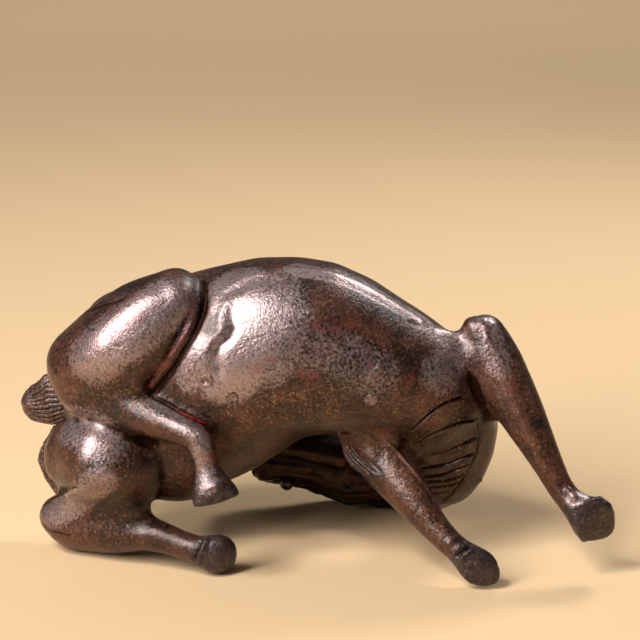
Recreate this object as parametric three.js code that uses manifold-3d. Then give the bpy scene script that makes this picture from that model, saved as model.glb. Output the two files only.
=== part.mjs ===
// Cast bronze qilin, lying on its left side with the head turned back behind the belly.
// The sections are cast apart and set together: legs and neck on tenons locked by wedges and pins,
// hooves on spigots, horn, ears and tufts on pegs. Nothing on it moves.
// Millimetres, +Z up, table at Z = 0. +X is towards the chest, -Y is the belly side.

import * as THREE from "three";
import { mergeVertices } from "three/addons/utils/BufferGeometryUtils.js";
import Module from "manifold-3d";

const wasm = await Module();
wasm.setup();

// Overall sizes of the lying figure. The stations below are drawn at DRAWN_SIZE, and the form stretches
// along each axis when an overall size is changed, while pins, tenons and gaps keep their own sizes.
const FIGURE_LENGTH = 177.2;
const FIGURE_DEPTH = 82.2;
const FIGURE_HEIGHT = 88.2;
const DRAWN_SIZE = { length: 177.2, depth: 82.2, height: 88.2 };

// Casting and fitting sizes. FIT is the gap left round a piece that is cut by its neighbour,
// and PROUD is how far a pin or plug stands out of the skin.
const WALL = 4.5;
const FIT = 0.3;
const PROUD = 0.25;

// Leg tenons and the wedges that lock them inside the shell.
const TENON_RADIUS = 4.2;
const TENON_REACH = 6.5;
const TENON_HOLD = 3;
const WEDGE_LENGTH = 14;
const WEDGE_WIDTH = 2.6;
const WEDGE_HEIGHT = 3.2;
const WEDGE_STAND_OFF = 0.8;

// Neck, nape, tail and jaw fittings.
const NECK_SPIGOT_RADIUS = 6;
const NECK_SPIGOT_REACH = 3;
const NECK_PIN_DEPTH = 3;
const NECK_PIN_WAY = [0.1, 1, 0.15];
const NAPE_TENON_RADIUS = 4;
const NAPE_TENON_LENGTH = 7;
const NAPE_TENON_HOLD = 4;
const NAPE_PIN_DEPTH = 3;
const NAPE_PIN_SETBACK = 3.8;
const TAIL_SPIGOT_RADIUS = 3.2;
const TONGUE_LENGTH = 9;
const TONGUE_WIDTH = 5;
const TONGUE_HEIGHT = 6;
const TONGUE_RISE = 4;
const RIVET_RISE = 5;

// Pegs, pins, plugs and eyes.
const PEG_RADIUS = 1.3;
const PEG_LENGTH = 3;
const PEG_HOLD = 1.5;
const PIN_RADIUS = 1.2;
const PLUG_RADIUS = 1.9;
const PLUG_TAIL = 3;
const EYE_RADIUS = 2.4;

// Hoof details, shared by the four feet.
const SPIGOT_RADIUS = 2;
const SPIGOT_LENGTH = 3;
const SPIGOT_HOLD = 2;
const HOOF_HEEL = 0.7;
const HOOF_RIM = 2.2;
const HOOF_DRAFT = 0.3;
const HOOF_SHOULDER = 0.2;
const HOOF_BULGE = 1;
const BAND_HEIGHT = 1.6;
const BAND_RAISE = 0.8;

// Every body line is a run of named stations. A step is measured from the station before it;
// "wide" is the half width in the plane of the bend and "deep" is the half width across it.
const TORSO_START = [-64, 14, 43];
const TORSO = {
  rump: { step: [0, 0, 0], wide: 23, deep: 18, dome: 13 },
  croup: { step: [19, -2, 4], wide: 32, deep: 23 },
  loin: { step: [17, -2, 7.3], wide: 30.6, deep: 26 },
  barrel: { step: [15, -1, 5.9], wide: 28.2, deep: 26 },
  ribs: { step: [14, -1, 0.4], wide: 26.2, deep: 25 },
  withers: { step: [15, -1, -4.3], wide: 21.3, deep: 23 },
  shoulder: { step: [13, -1, -6.4], wide: 18.6, deep: 20 },
  chest: { step: [8, 0, -7], wide: 15, deep: 16, dome: 8 },
};

// Hip muscle on the upper side of the croup, cast with the torso.
const HIP = {
  front: { step: [-2, 8, 22.5], wide: 11.5, deep: 14, dome: 10 },
  back: { step: [-14, 2, -7], wide: 12, deep: 13, dome: 10 },
};

// Neck stations, from inside the chest down to the nape.
const NECK = {
  root: { step: [-4.5, 2, 7.5], wide: 14.5, deep: 15, dome: 6 },
  chest: { step: [4.5, 0, -4], wide: 14.5, deep: 14.5 },
  breast: { step: [3.5, 3, -11], wide: 13.2, deep: 13 },
  throat: { step: [-0.4, 5, -12], wide: 11, deep: 11.8 },
  bend: { step: [-4, 10, -9.3], wide: 10, deep: 10.6 },
  nape: { step: [-11.6, 9, -1.2], wide: 10, deep: 10.5 },
};

// The head lies rolled about its own length, so that the throat side turns up, in degrees. Jaw, horn, ears,
// eyes and beard are placed in the head's own directions: x back, y up to the forehead, z to its left.
const HEAD_ROLL = 55;

// Skull and jaw stations, from the nape to the nose.
const SKULL = {
  crown: { step: [-3.5, 2.5, 0], wide: 10.5, deep: 10, dome: 3 },
  brow: { step: [-11, 2, -0.4], wide: 12.8, deep: 10.5 },
  bridge: { step: [-13.5, -0.5, 2.2], wide: 8.5, deep: 7.5 },
  nose: { step: [-13.5, -2, 1.6], wide: 7.4, deep: 6, dome: 5.5 },
};
const JAW = {
  hinge: { step: [-2, -11, 0.5], wide: 8.5, deep: 4.5, dome: 2.5 },
  middle: { step: [-12, -0.8, 1.4], wide: 6.8, deep: 3.6 },
  chin: { step: [-12.5, 0.1, 1.3], wide: 5.6, deep: 3.2, dome: 3 },
};
const HORN = {
  foot: { step: [3, 9.5, 0], wide: 3.6, deep: 3.4 },
  shaft: { step: [9, 3.5, 1], wide: 2.6, deep: 2.5 },
  tip: { step: [10, -0.5, 2.5], wide: 1, deep: 1, dome: 1.5 },
};
const EAR = {
  foot: { step: [6, 5, 0], wide: 2.2, deep: 2.4, dome: 1.5 },
  leaf: { step: [6, 0.8, 0], wide: 2.4, deep: 4 },
  tip: { step: [6, 0.5, 0], wide: 0.9, deep: 1.1, dome: 1.5 },
};
const EAR_SPREAD = 8.5;
const EAR_SPLAY = 0.4;
const EYE_FORWARD = 20.5;
const EYE_SPREAD = 7.2;
const EYE_DROP = 2;
const BEARD = {
  foot: { step: [2.5, -2.4, 0], wide: 3.2, deep: 2.4, dome: 2 },
  lock: { step: [8, -2, 0.5], wide: 3.4, deep: 2.4 },
  tip: { step: [9, -0.5, 1.5], wide: 1, deep: 0.9, dome: 1.5 },
};

// Mane crest on the outside of the neck bend; each lean is the way the crest stands off that station.
const MANE_THICK = 3.4;
const MANE_RISE = 5;
const MANE_DOME = 4;
const MANE_LEANS = {
  chest: [0.3, 0.95, 0],
  breast: [0.5, 0.86, 0],
  throat: [0.78, 0.62, 0],
  bend: [0.72, 0.68, 0.1],
};

// Tail stations: the brush leaves the rump, the lock hangs from the brush behind the left haunch.
const TAIL = {
  dock: { step: [-9, 3, 0], wide: 6, deep: 5.5, dome: 3 },
  brush: { step: [-7.5, 4, -1.5], wide: 8.5, deep: 6.5 },
  end: { step: [-6.5, 1, -1], wide: 6.8, deep: 5, dome: 4.5 },
};
const TAIL_LOCK = {
  top: { step: [0, -1, -10], wide: 4, deep: 4, dome: 3 },
  curl: { step: [-2, -1, -9], wide: 4.2, deep: 4.2 },
  tip: { step: [3, -3, -8], wide: 2.6, deep: 2.6, dome: 2.5 },
};

// Hind legs: the thigh runs from the knee back to the buttock, the shank folds forward from the hock.
const RIGHT_THIGH = {
  knee: { step: [5, -9, 31.3], wide: 9.5, deep: 12, dome: 7 },
  front: { step: [-8, 0, -7.5], wide: 14.5, deep: 16 },
  middle: { step: [-9, 0, -9], wide: 16.5, deep: 17.5 },
  buttock: { step: [-12.3, 2, -8.5], wide: 14.5, deep: 14, dome: 9 },
};
const RIGHT_SHANK = {
  hock: { step: [-3, -5, -11.8], wide: 9.5, deep: 8.5, dome: 6 },
  upper: { step: [7.5, -7, -3], wide: 6.4, deep: 6.2 },
  middle: { step: [10, -6, -2.5], wide: 4.6, deep: 4.8 },
  fetlock: { step: [8.7, -4, -2.5], wide: 4, deep: 4.2 },
  pastern: { step: [2, -1.5, -8.5], wide: 3.6, deep: 3.8 },
};
const LEFT_THIGH = {
  back: { step: [-28, -6, -17.5], wide: 11, deep: 13, dome: 8 },
  middle: { step: [11, -5, 0.5], wide: 14.5, deep: 19 },
  front: { step: [7.5, -3, -3], wide: 13, deep: 16, dome: 9 },
};
const LEFT_SHANK = {
  heel: { step: [-18, 5, -20], wide: 6, deep: 6, dome: 4 },
  hock: { step: [7, -3, -1.1], wide: 9.3, deep: 9 },
  upper: { step: [11, -5, 0.4], wide: 8.6, deep: 8.4 },
  middle: { step: [11, -6, -0.4], wide: 5.6, deep: 5.8 },
  fetlock: { step: [10, -4.5, -1.4], wide: 4.4, deep: 4.4 },
  pastern: { step: [6, -2.5, -0.6], wide: 4.2, deep: 4.2 },
};

// Forelegs, from the root inside the shoulder to the pastern.
const RIGHT_FORELEG = {
  elbow: { step: [18.5, -1, 17.5], wide: 6.4, deep: 8, dome: 5 },
  upper: { step: [3.4, -3, -8.5], wide: 8.4, deep: 8.5 },
  forearm: { step: [8, -7, -14], wide: 6.8, deep: 7 },
  cannon: { step: [7.7, -6, -14], wide: 4.5, deep: 4.8 },
  fetlock: { step: [4.3, -3.5, -7.6], wide: 3.9, deep: 4.2 },
  pastern: { step: [2, -1.5, -1.5], wide: 4, deep: 4.2 },
};
const LEFT_FORELEG = {
  elbow: { step: [-1, -3, -20], wide: 8.6, deep: 9, dome: 6 },
  upper: { step: [3.5, -6, -5.5], wide: 8.4, deep: 8.4 },
  forearm: { step: [8, -10, -8.5], wide: 6.1, deep: 6.4 },
  cannon: { step: [6.7, -6.5, -7], wide: 4.5, deep: 4.7 },
  pastern: { step: [7.3, -5.5, -5.5], wide: 4, deep: 4.1 },
};

// Feet: which way the sole looks, where the toe points when it is not in line with the leg, and the sizes.
const RIGHT_HIND_FOOT = { look: [0.2, -0.2, -1], toe: [0.1, -1, 0.2], height: 8.8, length: 12, width: 13.5 };
const LEFT_HIND_FOOT = { look: [0.75, -0.8, 0.02], height: 8, length: 13, width: 14 };
const RIGHT_FORE_FOOT = { look: [0.3, -1, -0.15], height: 8.5, length: 14.5, width: 14.5 };
const LEFT_FORE_FOOT = { look: [0.15, -1, -0.05], height: 8.5, length: 14, width: 13.2 };

// Core-pin plugs: which torso station, how far on towards the next, and the way out of the wall.
const PLUGS = {
  groin_plug: { station: "loin", share: 0, way: [0, -1, 0.22] },
  belly_plug: { station: "loin", share: 0.25, way: [0, -1, -0.08] },
  chest_plug: { station: "withers", share: 0.1, way: [0, -1, -0.2] },
  flank_plug: { station: "withers", share: 0.3, way: [0, -0.35, 1] },
};

// Mesh fineness.
const TORSO_SIDES = 28;
const CAVITY_SIDES = 16;
const LIMB_SIDES = 16;
const SMALL_SIDES = 10;
const ROUND_SIDES = 12;
const STEPS = 2;
const DOME_RINGS = 3;
const DOME_TIP = 0.35;
const EYE_RINGS = 6;
const SECTION_LOOKS = 60;

// Longer than any wall that a pin has to pass.
const THROUGH = 40;

// Material slots.
const SLOTS = {
  bronze: { color: 0x2b221d, roughness: 0.42, metalness: 0.85 },
  hoof_bronze: { color: 0x1c1815, roughness: 0.6, metalness: 0.8 },
  fitting_bronze: { color: 0x5a4128, roughness: 0.5, metalness: 0.85 },
  gilt: { color: 0x9a6a2c, roughness: 0.35, metalness: 0.9 },
};

const X_AXIS = new THREE.Vector3(1, 0, 0);
const Y_AXIS = new THREE.Vector3(0, 1, 0);
const Z_AXIS = new THREE.Vector3(0, 0, 1);
const vector = (values) => new THREE.Vector3(...values);
const HEAD_TURN = new THREE.Quaternion().setFromAxisAngle(X_AXIS, THREE.MathUtils.degToRad(-HEAD_ROLL));
const UNTURNED = new THREE.Quaternion();
const HEAD_UP = Y_AXIS.clone().applyQuaternion(HEAD_TURN);
const HEAD_LEFT = Z_AXIS.clone().applyQuaternion(HEAD_TURN);
const STRETCH = new THREE.Vector3(
  FIGURE_LENGTH / DRAWN_SIZE.length, FIGURE_DEPTH / DRAWN_SIZE.depth, FIGURE_HEIGHT / DRAWN_SIZE.height,
);
const stretched = (point) => point.clone().multiply(STRETCH);

// Turns stations with steps into stations with places, starting from a given point.
function placed(start, stations, turn = UNTURNED) {
  const at = start.clone();
  const line = {};
  for (const [name, { step, ...size }] of Object.entries(stations)) {
    at.add(vector(step).applyQuaternion(turn));
    line[name] = { at: at.clone(), ...size };
  }
  return line;
}

function solidOf(geometry) {
  const bare = geometry.clone();
  bare.deleteAttribute("normal");
  bare.deleteAttribute("uv");
  const welded = mergeVertices(bare, 1e-5);
  const mesh = new wasm.Mesh({
    numProp: 3,
    vertProperties: new Float32Array(welded.attributes.position.array),
    triVerts: new Uint32Array(welded.index.array),
  });
  return new wasm.Manifold(mesh);
}

function geometryOf(solid) {
  const mesh = solid.getMesh();
  const geometry = new THREE.BufferGeometry();
  geometry.setAttribute("position", new THREE.BufferAttribute(new Float32Array(mesh.vertProperties), 3));
  geometry.setIndex(new THREE.BufferAttribute(new Uint32Array(mesh.triVerts), 1));
  geometry.computeVertexNormals();
  return geometry;
}

// Skins a list of equal rings, with a fan at each end.
function skin(rings) {
  const sides = rings[0].length;
  const points = rings.flat();
  const faces = [];
  for (let i = 0; i + 1 < rings.length; i += 1) {
    for (let j = 0; j < sides; j += 1) {
      const a = i * sides + j;
      const b = i * sides + ((j + 1) % sides);
      faces.push(a, b, b + sides, a, b + sides, a + sides);
    }
  }
  const first = points.length;
  const last = first + 1;
  const top = (rings.length - 1) * sides;
  const centre = (loop) => loop.reduce((sum, p) => sum.add(p), new THREE.Vector3()).divideScalar(sides);
  points.push(centre(rings[0]), centre(rings[rings.length - 1]));
  for (let j = 0; j < sides; j += 1) {
    const next = (j + 1) % sides;
    faces.push(first, next, j);
    faces.push(last, top + j, top + next);
  }
  const geometry = new THREE.BufferGeometry();
  geometry.setAttribute("position", new THREE.BufferAttribute(new Float32Array(points.length * 3), 3));
  points.map(stretched).forEach((p, i) => geometry.attributes.position.setXYZ(i, p.x, p.y, p.z));
  geometry.setIndex(faces);
  return solidOf(geometry);
}

// The smooth line and girth of a run of stations, read at a share from 0 to 1.
function spine(line, up = Y_AXIS) {
  const stations = Object.values(line);
  const path = new THREE.CatmullRomCurve3(stations.map((s) => s.at));
  const girth = new THREE.CatmullRomCurve3(stations.map((s) => new THREE.Vector3(s.wide, s.deep, 0)));
  return (share) => {
    const at = path.getPoint(share);
    const along = path.getTangent(share);
    const deepWay = up.clone().addScaledVector(along, -up.dot(along)).normalize();
    const wideWay = deepWay.clone().cross(along);
    const size = girth.getPoint(share);
    return { at, along, deepWay, wideWay, wide: size.x, deep: size.y };
  };
}

function ring({ at, wideWay, deepWay, wide, deep }, sides) {
  return Array.from({ length: sides }, (_, i) => {
    const angle = (2 * Math.PI * i) / sides;
    return at.clone()
      .addScaledVector(wideWay, wide * Math.cos(angle))
      .addScaledVector(deepWay, deep * Math.sin(angle));
  });
}

// An oval section carried along the stations, closed by a dome or flat at each end.
function limb(line, { sides = LIMB_SIDES, grow = 0, up = Y_AXIS } = {}) {
  const read = spine(line, up);
  const ends = Object.values(line);
  const start = ends[0].dome ?? 0;
  const end = ends[ends.length - 1].dome ?? 0;
  const count = STEPS * (Object.keys(line).length - 1);
  const grown = (section) => ({ ...section, wide: section.wide + grow, deep: section.deep + grow });
  const rings = Array.from({ length: count + 1 }, (_, i) => ring(grown(read(i / count)), sides));
  const dome = (section, length) => {
    const shells = [];
    for (let k = 1; k <= DOME_RINGS; k += 1) {
      const angle = (Math.PI / 2) * (k / (DOME_RINGS + DOME_TIP));
      const at = section.at.clone().addScaledVector(section.along, length * Math.sin(angle));
      const size = Math.cos(angle);
      shells.push(ring({ ...section, at, wide: section.wide * size, deep: section.deep * size }, sides));
    }
    return shells;
  };
  const head = start > 0 ? dome(grown(read(0)), -(start + grow)).reverse() : [];
  const tail = end > 0 ? dome(grown(read(1)), end + grow) : [];
  return skin([...head, ...rings, ...tail]);
}

// A round bar from one point to another.
function bar(from, to, radius, sides = ROUND_SIDES) {
  const way = stretched(to).sub(stretched(from));
  const geometry = new THREE.CylinderGeometry(radius, radius, way.length(), sides);
  geometry.applyQuaternion(new THREE.Quaternion().setFromUnitVectors(Y_AXIS, way.clone().normalize()));
  geometry.translate(...stretched(from.clone().lerp(to, 0.5)).toArray());
  return solidOf(geometry);
}

// A square bar centred on a point: long along "along", wide across, high along "up".
function block(at, along, up, length, width, height) {
  const geometry = new THREE.BoxGeometry(length, width, height);
  const side = up.clone().cross(along).normalize();
  geometry.applyMatrix4(new THREE.Matrix4().makeBasis(along, side, along.clone().cross(side)));
  geometry.translate(...stretched(at).toArray());
  return solidOf(geometry);
}

const without = (solid, ...cutters) => cutters.reduce((left, cutter) => left.subtract(cutter), solid);
const joined = (...solids) => solids.reduce((sum, solid) => sum.add(solid));
const towards = (from, to) => to.clone().sub(from).normalize();
const onward = (from, way, length) => from.clone().addScaledVector(way, length);

// Lines of the figure, each hung from the one it grows out of.
const torso = placed(vector(TORSO_START), TORSO);
const hip = placed(torso.croup.at, HIP);
const neck = placed(torso.chest.at, NECK);
const skull = placed(neck.nape.at, SKULL);
const jaw = placed(skull.brow.at, JAW, HEAD_TURN);
const horn = placed(skull.brow.at, HORN, HEAD_TURN);
const beard = placed(jaw.chin.at, BEARD, HEAD_TURN);
const tail = placed(torso.rump.at, TAIL);
const tailLock = placed(tail.brush.at, TAIL_LOCK);
const rightThigh = placed(torso.croup.at, RIGHT_THIGH);
const rightShank = placed(rightThigh.middle.at, RIGHT_SHANK);
const leftThigh = placed(torso.croup.at, LEFT_THIGH);
const leftShank = placed(leftThigh.middle.at, LEFT_SHANK);
const rightForeleg = placed(torso.shoulder.at, RIGHT_FORELEG);
const leftForeleg = placed(torso.withers.at, LEFT_FORELEG);

// Forms: the outside of each section, grown by a clearance when it is used as a cutter.
const torsoForm = (grow) => joined(limb(torso, { sides: TORSO_SIDES, grow }), limb(hip, { grow }));
const neckForm = (grow) => limb(neck, { grow });
const skullForm = (grow) => limb(skull, { grow, up: HEAD_UP });
const jawForm = (grow) => limb(jaw, { sides: SMALL_SIDES, grow, up: HEAD_UP });
const leftHindForm = (grow) => joined(limb(leftThigh, { grow }), limb(leftShank, { grow }));
const rightHindForm = (grow) => joined(limb(rightThigh, { grow }), limb(rightShank, { grow }));
const rightForeForm = (grow) => limb(rightForeleg, { grow });
const leftForeForm = (grow) => limb(leftForeleg, { grow });
const tailForm = (grow) => limb(tail, { grow });

// A leg tenon: from a hold inside the leg, through the torso wall nearest to it, locked by a wedge inside.
const torsoSection = spine(torso);
const CAVITY = limb(torso, { sides: CAVITY_SIDES, grow: -WALL });
const CAVITY_CLEAR = limb(torso, { sides: CAVITY_SIDES, grow: -WALL - FIT });

function nearestSection(point) {
  const shares = Array.from({ length: SECTION_LOOKS + 1 }, (_, i) => i / SECTION_LOOKS);
  const gap = (share) => torsoSection(share).at.distanceTo(point);
  return torsoSection(shares.reduce((best, share) => (gap(share) < gap(best) ? share : best)));
}

function skinDistance(section, way) {
  return 1 / Math.hypot(way.dot(section.wideWay) / section.wide, way.dot(section.deepWay) / section.deep);
}

function tenon(hold) {
  const section = nearestSection(hold);
  const way = towards(section.at, hold);
  const wall = skinDistance(section, way);
  const root = onward(section.at, way, Math.max(section.at.distanceTo(hold), wall + TENON_HOLD));
  const foot = onward(section.at, way, wall - WALL - TENON_REACH);
  const lock = onward(section.at, way, wall - WALL - FIT - WEDGE_STAND_OFF - WEDGE_HEIGHT / 2);
  const wedge = block(lock, section.along, way, WEDGE_LENGTH, WEDGE_WIDTH, WEDGE_HEIGHT);
  const slot = block(lock, section.along, way, WEDGE_LENGTH, WEDGE_WIDTH + 2 * FIT, WEDGE_HEIGHT + 2 * FIT);
  return {
    bar: bar(root, foot, TENON_RADIUS).subtract(slot),
    hole: bar(root, foot, TENON_RADIUS + FIT),
    wedge: wedge.intersect(CAVITY_CLEAR),
  };
}

const rightHindTenon = tenon(rightThigh.middle.at);
const leftHindTenon = tenon(leftThigh.middle.at);
const rightForeTenon = tenon(rightForeleg.elbow.at);
const leftForeTenon = tenon(leftForeleg.upper.at);

// A leg end: the spigot past the pastern, and the hoof that takes it.
function foot(line, { look: lookWay, toe: toeWay, height, length, width }) {
  const end = spine(line)(1);
  const look = vector(lookWay).normalize();
  const hint = toeWay ? vector(toeWay) : end.along;
  const toe = hint.clone().addScaledVector(look, -hint.dot(look)).normalize();
  const side = look.clone().cross(toe);
  const front = side.clone().cross(end.along).normalize();
  const soleAt = onward(end.at, end.along, height);
  const coronet = onward(end.at, end.along, FIT);
  const collar = (offset, raise) => Array.from({ length: LIMB_SIDES }, (_, i) => {
    const angle = (2 * Math.PI * i) / LIMB_SIDES;
    return onward(coronet, end.along, offset)
      .addScaledVector(front, (end.deep + raise) * Math.cos(angle))
      .addScaledVector(side, (end.wide + raise) * Math.sin(angle));
  });
  const outline = (draft, lift) => Array.from({ length: LIMB_SIDES }, (_, i) => {
    const angle = (2 * Math.PI * i) / LIMB_SIDES;
    const reachOut = Math.cos(angle) < 0 ? HOOF_HEEL : 1;
    return onward(soleAt, look, -lift)
      .addScaledVector(toe, (length / 2 - draft) * reachOut * Math.cos(angle))
      .addScaledVector(side, (width / 2 - draft) * Math.sin(angle));
  });
  const upper = collar(BAND_HEIGHT, HOOF_SHOULDER);
  const lower = outline(HOOF_DRAFT, HOOF_RIM);
  const core = coronet.clone().lerp(soleAt, 0.5);
  const waist = upper.map((point, i) => {
    const middle = point.clone().lerp(lower[i], 0.5);
    return onward(middle, towards(core, middle), HOOF_BULGE);
  });
  const band = [collar(0, BAND_RAISE), collar(BAND_HEIGHT, BAND_RAISE)];
  const body = skin([...band, upper, waist, lower, outline(0, 0)]);
  const spigotEnd = onward(end.at, end.along, SPIGOT_LENGTH);
  const socketEnd = onward(end.at, end.along, SPIGOT_LENGTH + FIT);
  const inside = onward(end.at, end.along, -SPIGOT_HOLD);
  return {
    spigot: bar(inside, spigotEnd, SPIGOT_RADIUS),
    hoof: without(body, limb(line, { grow: FIT }), bar(inside, socketEnd, SPIGOT_RADIUS + FIT)),
  };
}

const rightHindFoot = foot(rightShank, RIGHT_HIND_FOOT);
const leftHindFoot = foot(leftShank, LEFT_HIND_FOOT);
const rightForeFoot = foot(rightForeleg, RIGHT_FORE_FOOT);
const leftForeFoot = foot(leftForeleg, LEFT_FORE_FOOT);

// Table cutter: whatever dips under the table is worn flat.
const tableSpan = 2 * FIGURE_LENGTH;
const tableBlock = new THREE.BoxGeometry(tableSpan, tableSpan, tableSpan).translate(0, 0, -tableSpan / 2);
const underTable = solidOf(tableBlock);

// Cutters used more than once.
const torsoCut = torsoForm(FIT);
const neckCut = neckForm(FIT);
const neckOutside = neckCut.subtract(torsoForm(0));
const leftHindCut = leftHindForm(FIT);
const rightHindCut = rightHindForm(FIT);

// Torso: a hollow shell, pierced for the tenons, the neck spigot, the tail and the core pins.
const neckSpigotRoot = neck.breast.at.clone().lerp(neck.throat.at, 0.5);
const neckSpigotFoot = onward(neck.chest.at, towards(neck.breast.at, neck.chest.at), NECK_SPIGOT_REACH);
const neckSpigot = bar(neckSpigotRoot, neckSpigotFoot, NECK_SPIGOT_RADIUS);
const neckHole = bar(neckSpigotRoot, neckSpigotFoot, NECK_SPIGOT_RADIUS + FIT);
const tailSpigot = bar(tail.brush.at, torso.rump.at, TAIL_SPIGOT_RADIUS);
const tailHole = bar(tail.brush.at, torso.rump.at, TAIL_SPIGOT_RADIUS + FIT);

function wallBar({ station, share, way }, radius) {
  const names = Object.keys(torso);
  const section = torsoSection((names.indexOf(station) + share) / (names.length - 1));
  const out = vector(way).addScaledVector(section.along, -vector(way).dot(section.along)).normalize();
  const skinAt = skinDistance(section, out);
  const inner = onward(section.at, out, skinAt - WALL - PLUG_TAIL);
  return bar(inner, onward(section.at, out, skinAt + PLUG_TAIL), radius);
}

const shellForm = torsoForm(0).subtract(CAVITY);
const plugShell = torsoForm(PROUD).subtract(CAVITY);
const plugHoles = Object.values(PLUGS).map((plug) => wallBar(plug, PLUG_RADIUS + FIT));

const pinFrom = neck.chest.at;
const pinWay = vector(NECK_PIN_WAY).normalize();
const neckPinBar = (grow) => bar(
  onward(pinFrom, pinWay, -NECK_PIN_DEPTH - grow), onward(pinFrom, pinWay, THROUGH), PIN_RADIUS + grow,
);

const torsoShell = without(shellForm, rightHindTenon.hole, leftHindTenon.hole, rightForeTenon.hole,
  leftForeTenon.hole, neckHole, tailHole, neckPinBar(FIT), ...plugHoles);

// Neck and head.
const napeWay = towards(neck.nape.at, skull.brow.at);
const napeTenon = (grow) => bar(
  onward(neck.nape.at, towards(neck.nape.at, neck.bend.at), NAPE_TENON_HOLD),
  onward(neck.nape.at, napeWay, NAPE_TENON_LENGTH + grow), NAPE_TENON_RADIUS + grow,
);
const napePinAt = onward(neck.nape.at, napeWay, NAPE_PIN_SETBACK);
const napePinBar = (grow) => bar(
  onward(napePinAt, Y_AXIS, -NAPE_PIN_DEPTH - grow), onward(napePinAt, Y_AXIS, THROUGH), PIN_RADIUS + grow,
);
const tongueWay = towards(jaw.hinge.at, skull.brow.at);
const rivetAt = onward(jaw.hinge.at, tongueWay, RIVET_RISE);
const rivetBar = (grow) => bar(
  onward(rivetAt, HEAD_LEFT, -THROUGH), onward(rivetAt, HEAD_LEFT, THROUGH), PIN_RADIUS + grow,
);
const tongueAt = onward(jaw.hinge.at, tongueWay, TONGUE_RISE);
const tongue = (grow) => block(tongueAt, tongueWay, HEAD_LEFT,
  TONGUE_LENGTH + 2 * grow, TONGUE_WIDTH + 2 * grow, TONGUE_HEIGHT + 2 * grow);

// Pegs run from inside the small piece back into its neighbour.
const peg = (at, way, grow) => bar(
  onward(at, way, PEG_HOLD), onward(at, way, -PEG_LENGTH - grow), PEG_RADIUS + grow, SMALL_SIDES,
);

// Mane: a crest that follows the outside of the neck bend.
const mane = Object.fromEntries(Object.entries(MANE_LEANS).map(([name, lean]) => {
  const station = neck[name];
  const way = vector(lean).normalize();
  const at = onward(station.at, way, station.wide);
  return [name, { at, wide: MANE_THICK, deep: MANE_RISE, dome: MANE_DOME, way }];
}));
const manePegs = (grow) => ["breast", "bend"].map((name) => peg(mane[name].at, mane[name].way, grow));
const neckShell = without(
  joined(neckForm(0).subtract(torsoCut), neckSpigot, napeTenon(0)),
  neckPinBar(FIT), napePinBar(FIT), ...manePegs(FIT), underTable,
);

const eyeAt = (turn) => skull.brow.at.clone()
  .addScaledVector(X_AXIS, -EYE_FORWARD)
  .addScaledVector(HEAD_UP, -EYE_DROP)
  .addScaledVector(HEAD_LEFT, turn * EYE_SPREAD);
const eyeBall = (turn, grow) => {
  const ball = new THREE.SphereGeometry(EYE_RADIUS + grow, SMALL_SIDES, EYE_RINGS);
  ball.translate(...stretched(eyeAt(turn)).toArray());
  return solidOf(ball);
};

const ear = (turn) => {
  const stations = Object.fromEntries(Object.entries(EAR).map(([name, station], i) => {
    const [x, y] = station.step;
    return [name, { ...station, step: [x, y, turn * (i === 0 ? EAR_SPREAD : EAR_SPLAY)] }];
  }));
  return placed(skull.brow.at, stations, HEAD_TURN);
};
const leftEar = ear(1);
const rightEar = ear(-1);
const earWay = (line) => towards(skull.brow.at, line.foot.at);
const hornWay = towards(skull.brow.at, horn.foot.at);
const beardWay = HEAD_UP.clone().negate();
const headLimb = (line) => limb(line, { sides: SMALL_SIDES, up: HEAD_UP });

const skullPiece = without(
  skullForm(0), neckCut, napeTenon(FIT), napePinBar(FIT), rivetBar(FIT), tongue(FIT),
  eyeBall(1, FIT), eyeBall(-1, FIT), peg(horn.foot.at, hornWay, FIT),
  peg(leftEar.foot.at, earWay(leftEar), FIT), peg(rightEar.foot.at, earWay(rightEar), FIT), underTable,
);
const skullCut = skullForm(FIT);
const lowerJaw = without(
  joined(without(jawForm(0), skullCut), tongue(0)),
  neckCut, rivetBar(FIT), peg(beard.foot.at, beardWay, FIT), underTable,
);
const hornPiece = joined(
  headLimb(horn).subtract(skullCut),
  peg(horn.foot.at, hornWay, 0),
);
const earPiece = (line) => without(
  joined(headLimb(line).subtract(skullCut), peg(line.foot.at, earWay(line), 0)),
  neckCut, underTable,
);
const beardPiece = joined(
  without(headLimb(beard), jawForm(FIT), skullCut),
  peg(beard.foot.at, beardWay, 0),
);

const manePiece = without(
  joined(limb(mane, { sides: SMALL_SIDES }).subtract(neckCut), ...manePegs(0)),
  torsoCut, skullCut, underTable,
);

// Tail: the brush on its spigot, and the lock pegged under it.
const lockWay = towards(tailLock.top.at, tailLock.curl.at);
const tailBrush = without(
  joined(without(tailForm(0), torsoCut, rightHindCut, leftHindCut), tailSpigot),
  peg(tailLock.top.at, lockWay, FIT),
);
const tailLockPiece = joined(
  without(limb(tailLock, { sides: SMALL_SIDES }), tailForm(FIT), leftHindCut, torsoCut),
  peg(tailLock.top.at, lockWay, 0),
);

// Legs: each is cut round the torso, the neck and the leg before it, then given its tenon and spigot.
const leftHindLeg = without(
  joined(leftHindForm(0).subtract(torsoCut), leftHindTenon.bar, leftHindFoot.spigot),
  underTable,
);
const rightHindLeg = joined(
  without(rightHindForm(0), torsoCut, leftHindCut), rightHindTenon.bar, rightHindFoot.spigot,
);
const rightForeLeg = joined(
  without(rightForeForm(0), torsoCut, neckCut), rightForeTenon.bar.subtract(neckOutside), rightForeFoot.spigot,
);
const leftForeLeg = without(
  joined(without(leftForeForm(0), torsoCut, neckCut), leftForeTenon.bar, leftForeFoot.spigot),
  underTable,
);

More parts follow.
